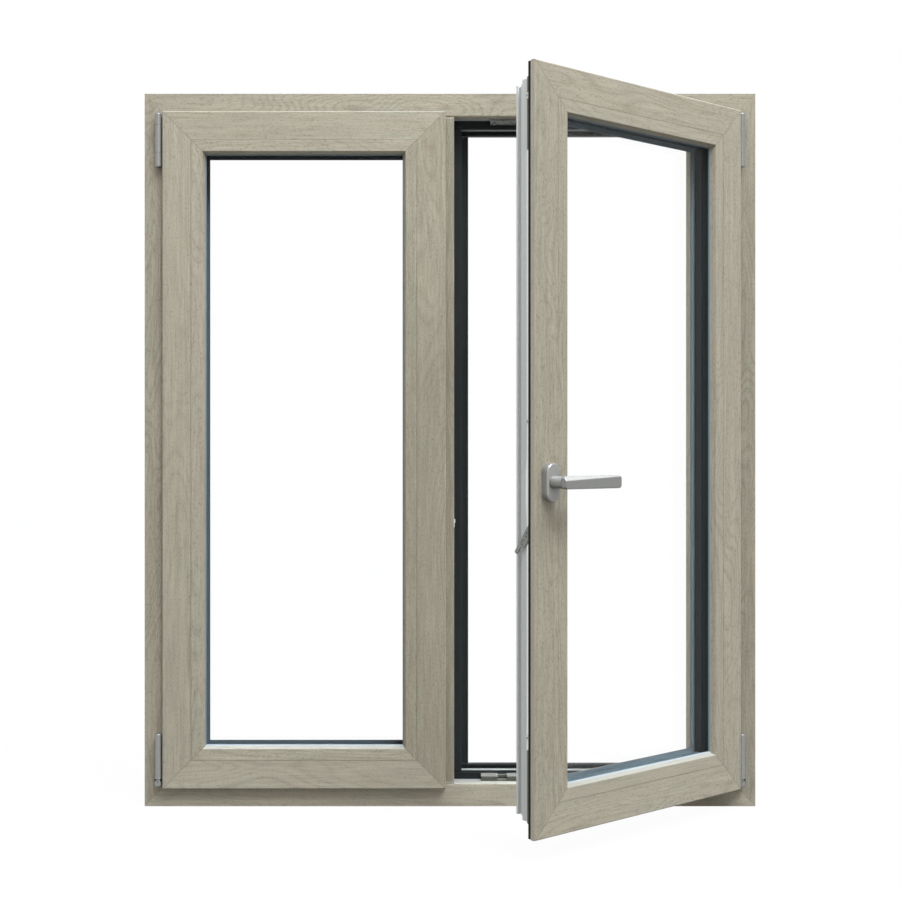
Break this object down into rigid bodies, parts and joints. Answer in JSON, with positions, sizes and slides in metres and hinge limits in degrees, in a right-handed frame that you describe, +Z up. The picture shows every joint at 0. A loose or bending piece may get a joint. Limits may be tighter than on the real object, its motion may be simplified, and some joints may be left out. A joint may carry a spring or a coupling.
{
  "type": "inward-opening plastic window",
  "caption": "Inward-opening plastic casement window with wood-look foil, sealed glazing, a floating mullion and a lever handle; the left leaf is shut, the right leaf stands open.",
  "frame": {"origin": "middle of the outer frame's flat underside, at half its width and half its depth", "axes": "+Z up, +X along the wall to the right as seen from the room, +Y from the room to the outside"},
  "size_m": [1.2, 0.4926, 1.4],
  "materials": {
    "foiled_pvc": "pale grey-beige oak foil with fine embossed grain on white PVC profile",
    "seal_rubber": "dark grey extruded seal",
    "glass": "clear float glass",
    "spacer_plastic": "black warm-edge spacer",
    "satin_silver": "satin silver lacquer",
    "satin_handle": "satin anodised",
    "bright_chrome": "polished",
    "zinc_steel": "zinc-plated and silver-passivated steel",
    "cap_plastic": "moulded dark plastic"
  },
  "bodies": {
    "root": {"active_bottom_bead": "foiled_pvc", "active_bottom_hinge": "satin_silver", "active_bottom_rail": "foiled_pvc", "active_free_bead": "foiled_pvc", "active_free_stile": "foiled_pvc", "active_glass_panes": "glass", "active_glass_spacers": "spacer_plastic", "active_hinge_bead": "foiled_pvc", "active_hinge_stile": "foiled_pvc", "active_seals": "seal_rubber", "active_top_bead": "foiled_pvc", "active_top_hinge": "satin_silver", "active_top_rail": "foiled_pvc", "corner_drives": "zinc_steel", "espagnolette_rail": "zinc_steel", "floating_mullion": "foiled_pvc", "frame_head": "foiled_pvc", "frame_jamb_left": "foiled_pvc", "frame_jamb_right": "foiled_pvc", "frame_seals": "seal_rubber", "frame_sill": "foiled_pvc", "handle_lever": "satin_handle", "handle_rosette": "satin_handle", "head_striker": "zinc_steel", "hinge_bearings": "bright_chrome", "lifter_lever": "zinc_steel", "mullion_end_caps": "cap_plastic", "mullion_lever": "zinc_steel", "mullion_seals": "seal_rubber", "mullion_strikers": "zinc_steel", "passive_bottom_bead": "foiled_pvc", "passive_bottom_hinge": "satin_silver", "passive_bottom_rail": "foiled_pvc", "passive_free_bead": "foiled_pvc", "passive_free_stile": "foiled_pvc", "passive_glass_panes": "glass", "passive_glass_spacers": "spacer_plastic", "passive_hinge_bead": "foiled_pvc", "passive_hinge_stile": "foiled_pvc", "passive_seals": "seal_rubber", "passive_top_bead": "foiled_pvc", "passive_top_hinge": "satin_silver", "passive_top_rail": "foiled_pvc", "roller_cams": "zinc_steel", "sill_striker": "zinc_steel"}
  },
  "joints": []
}
